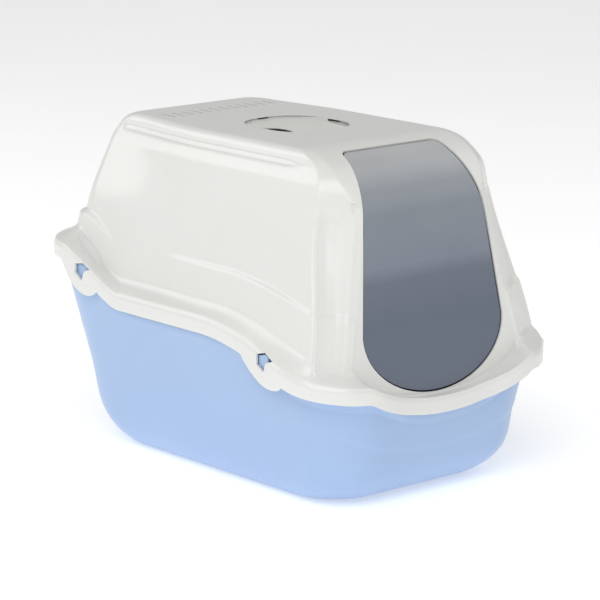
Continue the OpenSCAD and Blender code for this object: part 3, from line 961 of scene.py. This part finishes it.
def smoked_plastic_painted_shading(name, stops, shade):
    """Smoked plastic, close to opaque, with painted light: a ramp by height paints the shade of the dim
    inside, darker towards the foot, and a painted reflection, lighter towards the top. stops are (height,
    colour)."""
    s = Shader(name)
    split = s.node("ShaderNodeSeparateXYZ")
    s.link(s.coords, split.inputs["Vector"])
    low, high = stops[0][0], stops[-1][0]
    # painted shade low down and painted reflection high up, set by height alone
    height = s.remap(split.outputs["Z"], low * MM, high * MM, 0.0, 1.0)
    colour = s.ramp(height, [((z - low) / (high - low), painted_shading) for z, painted_shading in stops])
    cloud = s.noise(6.0, 3.0, 0.5)
    colour = s.blend(colour, shade, s.remap(cloud, 0.4, 0.75, 0.0, 0.18))
    haze = s.noise(40.0, 5.0, 0.7, stretch=(1.0, 1.0, 0.3))
    rough_map = s.remap(haze, 0.3, 0.75, 0.24, 0.27)
    normal = s.bump(s.noise(12.0, 2.0, 0.4), 0.0002, 0.15)
    s.set(Base_Color=colour, Roughness=rough_map, Normal=normal, IOR=1.5, Alpha=0.95,
          Coat_Weight=0.35, Coat_Roughness=0.2)
    return s.material


def carbon_felt(name):
    s = Shader(name)
    fibre = s.noise(900.0, 6.0, 0.75, stretch=(1.0, 0.25, 1.0))
    tuft = s.noise(160.0, 4.0, 0.6)
    colour = s.ramp(fibre, ((0.35, (0.006, 0.006, 0.007, 1)), (0.7, (0.05, 0.05, 0.055, 1))))
    colour = s.blend(colour, (0.02, 0.02, 0.022, 1), s.remap(tuft, 0.4, 0.7, 0.0, 0.6))
    normal = s.bump(fibre, 0.0004, 0.8)
    normal = s.bump(tuft, 0.001, 0.6, normal)
    s.set(Base_Color=colour, Roughness=0.95, Normal=normal, Sheen_Weight=0.3, Sheen_Roughness=0.5)
    return s.material


HOOD_PLASTIC = moulded_plastic("ivory_plastic", srgb(226, 226, 223), srgb(223, 223, 219), 0.3, 1.0,
                               coat=0.25, scatter=0.12)
HANDLE_PLASTIC = moulded_plastic("ivory_handle", srgb(222, 222, 217), srgb(216, 216, 210), 0.34, 1.2)
TRAY_PLASTIC = moulded_plastic("blue_plastic", srgb(165, 190, 225), srgb(162, 187, 223), 0.36, 1.2,
                               coat=0.1, scatter=0.08)
INNER_PLASTIC = moulded_plastic("inner_plastic", srgb(214, 213, 207), srgb(205, 204, 198), 0.55, 1.6)
# painted shade and painted reflection on the flap: (height in mm, colour), darker at the foot, lighter at
# the top
FLAP_PAINTED_SHADE_AND_REFLECTION = ((130, srgb(98, 107, 124)), (215, srgb(96, 105, 121)), (262, srgb(106, 114, 127)),
              (280, srgb(128, 135, 148)), (365, srgb(144, 150, 157)), (400, srgb(188, 190, 191)))
FLAP_PLASTIC = smoked_plastic_painted_shading("smoked_plastic_painted_shading", FLAP_PAINTED_SHADE_AND_REFLECTION, srgb(98, 107, 122))
FELT = carbon_felt("carbon_felt")


def finish_piece(piece, body, node, material):
    piece.data.materials.clear()
    piece.data.materials.append(material)
    for polygon in piece.data.polygons:
        polygon.material_index = 0
    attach(piece, body)
    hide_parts(node)


finish_piece(make_tray(), "tray", "base_tray", TRAY_PLASTIC)
finish_piece(make_hood(), "hood", "hood", HOOD_PLASTIC)
finish_piece(make_flap(), "flap", "door_flap", FLAP_PLASTIC)
finish_piece(make_strap(), "handle", "carry_handle", HANDLE_PLASTIC)
finish_piece(make_frame(), "hood", "filter_frame", INNER_PLASTIC)
finish_piece(make_pad(), "hood", "carbon_filter", FELT)
finish_piece(make_cover(), "cover", "filter_cover", INNER_PLASTIC)


# ---- studio, in metres and degrees ----
FLOOR_FRONT = -8.0
FLOOR_REAR = 6.0
FLOOR_HALF = 9.0
SWEEP_R = 0.5
FLOOR_TURN = -40.7
FLOOR_GLOW = 0.34
WORLD_STRENGTH = 0.45
CAMERA_AZIMUTH = -40.708
CAMERA_ELEVATION = 12.751
CAMERA_DISTANCE = 3.6008
CAMERA_LENS = 177.45
AIM_RIGHT = 0.007156
AIM_HEIGHT = 0.1918
LIT_POINT = (0, 0, 0.2)
LIGHTS = (("key", (-2.1, -1.75, 2.5), (2.6, 2.6), 56),
          ("rim", (-1.7, 2.5, 1.8), (2.2, 1.7), 22),
          ("side", (1.9, -1.3, 2.2), (2.4, 2.4), 11))


def make_floor():
    """A wide white sheet that sweeps up behind the box."""
    profile = [(FLOOR_FRONT, 0.0)]
    profile += [(FLOOR_REAR + SWEEP_R * math.sin(a), SWEEP_R - SWEEP_R * math.cos(a))
                for a in np.linspace(0, math.pi / 2, 16)]
    turn = math.radians(FLOOR_TURN)
    verts, faces = [], []
    for x in (-FLOOR_HALF, FLOOR_HALF):
        for y, z in profile:
            verts.append((x * math.cos(turn) - y * math.sin(turn),
                          x * math.sin(turn) + y * math.cos(turn), z))
    n = len(profile)
    for i in range(n - 1):
        faces.append((i, i + 1, n + i + 1, n + i))
    floor = mesh_object("floor", verts, faces, 1.0)
    for polygon in floor.data.polygons:
        polygon.use_smooth = True
    s = Shader("studio_paper")
    tone = s.ramp(s.noise(3.0, 2.0, 0.5), ((0.3, (0.93, 0.93, 0.93, 1)), (0.7, (0.95, 0.95, 0.95, 1))))
    s.set(Base_Color=tone, Roughness=0.9, Emission_Color=(1, 1, 1, 1), Emission_Strength=FLOOR_GLOW)
    floor.data.materials.append(s.material)


def soft_light(name, place, size, power):
    data = bpy.data.lights.new(name, "AREA")
    data.shape = "RECTANGLE"
    data.size, data.size_y = size
    data.energy = power
    lamp = bpy.data.objects.new(name, data)
    lamp.location = place
    lamp.rotation_euler = (Vector(LIT_POINT) - Vector(place)).to_track_quat("-Z", "Y").to_euler()
    bpy.context.scene.collection.objects.link(lamp)


def make_camera():
    azimuth, elevation = math.radians(CAMERA_AZIMUTH), math.radians(CAMERA_ELEVATION)
    right = Vector((math.cos(azimuth), math.sin(azimuth), 0))
    back = Vector((math.sin(azimuth) * math.cos(elevation), -math.cos(azimuth) * math.cos(elevation),
                   math.sin(elevation)))
    target = right * AIM_RIGHT + Vector((0, 0, AIM_HEIGHT))
    data = bpy.data.cameras.new("camera")
    data.lens = CAMERA_LENS
    data.sensor_width = 36
    camera = bpy.data.objects.new("camera", data)
    camera.location = target + back * CAMERA_DISTANCE
    camera.rotation_euler = back.to_track_quat("Z", "Y").to_euler()
    bpy.context.scene.collection.objects.link(camera)
    bpy.context.scene.camera = camera


make_floor()
for light in LIGHTS:
    soft_light(*light)
make_camera()

world = bpy.data.worlds.new("studio")
world.use_nodes = True
world.node_tree.nodes["Background"].inputs["Color"].default_value = (1, 1, 1, 1)
world.node_tree.nodes["Background"].inputs["Strength"].default_value = WORLD_STRENGTH
bpy.context.scene.world = world
bpy.context.scene.view_settings.view_transform = "Standard"
